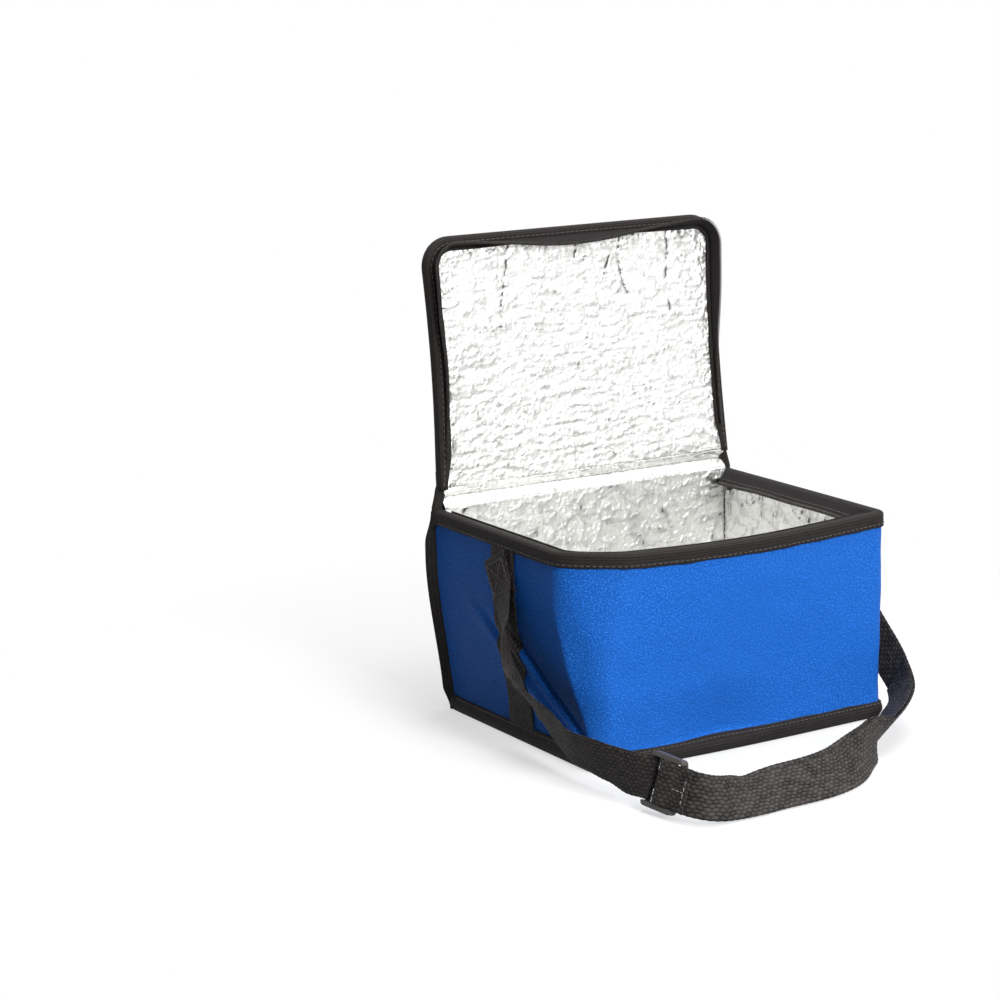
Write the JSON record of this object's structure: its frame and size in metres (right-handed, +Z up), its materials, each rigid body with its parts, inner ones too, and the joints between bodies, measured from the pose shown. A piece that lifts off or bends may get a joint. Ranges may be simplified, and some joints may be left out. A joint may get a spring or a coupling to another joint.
{
  "type": "vaccine carrier",
  "caption": "Soft insulated carrier bag with a foil-lined cavity, zipped hinged lid, back mesh pocket and adjustable webbing strap.",
  "frame": {"origin": "centre of the underside of the base, on the surface it stands on", "axes": "+Z up, -Y the front, +X the bag's right seen from the front"},
  "size_m": [0.2668, 0.3161, 0.3187],
  "materials": {
    "cloth": "blue woven polyester",
    "foam": "white closed-cell foam",
    "foil": "crinkled silver film",
    "grosgrain": "ribbed black tape",
    "mesh": "knitted black net",
    "zip_tape": "black woven tape",
    "zip_coil": "black nylon coil",
    "zip_metal": "black enamelled zinc",
    "webbing": "black basket-weave webbing",
    "glide_plastic": "moulded black plastic"
  },
  "bodies": {
    "bag": {"back_base_cover": "cloth", "back_base_liner": "foil", "back_binding_left": "grosgrain", "back_binding_right": "grosgrain", "back_foam": "foam", "base_binding": "grosgrain", "base_foam": "foam", "mesh_pocket": "mesh", "pocket_tape_bottom": "grosgrain", "pocket_tape_left": "grosgrain", "pocket_tape_right": "grosgrain", "rim_binding": "grosgrain", "strap_patch_left": "webbing", "strap_patch_right": "webbing", "wall_cover": "cloth", "wall_foam": "foam", "wall_liner": "foil", "zip_coil_body": "zip_coil", "zip_stops": "zip_metal", "zip_tape_body": "zip_tape"},
    "lid": {"lid_binding": "grosgrain", "lid_cover": "cloth", "lid_foam": "foam", "lid_liner": "foil", "zip_coil_lid": "zip_coil", "zip_tape_lid": "zip_tape"},
    "slider": {"zip_slider": "zip_metal"},
    "pull": {"zip_pull": "zip_metal"},
    "strap": {"strap_main": "webbing", "strap_return": "webbing"},
    "adjuster": {"tri_glide": "glide_plastic", "strap_end_tab": "webbing"}
  },
  "joints": [
    {"name": "lid_hinge", "type": "hinge", "parent": "bag", "child": "lid", "pos_m": [0, 0.088, 0.14745], "axis": [1, 0, 0], "range_deg": [-135, 91.6]},
    {"name": "slider_run", "type": "slide", "parent": "bag", "child": "slider", "axis": [0, -1, 0], "range_m": [0, 0.104]},
    {"name": "pull_swing", "type": "hinge", "parent": "slider", "child": "pull", "pos_m": [-0.1079, 0.064, 0.12503], "axis": [0, 0, 1], "range_deg": [0, 120]},
    {"name": "strap_swing", "type": "hinge", "parent": "bag", "child": "strap", "pos_m": [0, 0, 0.112], "axis": [-1, 0, 0], "range_deg": [0, 115]},
    {"name": "adjuster_slide", "type": "slide", "parent": "strap", "child": "adjuster", "axis": [0.1561, -0.9858, -0.061], "range_m": [-0.025, 0.006]}
  ]
}
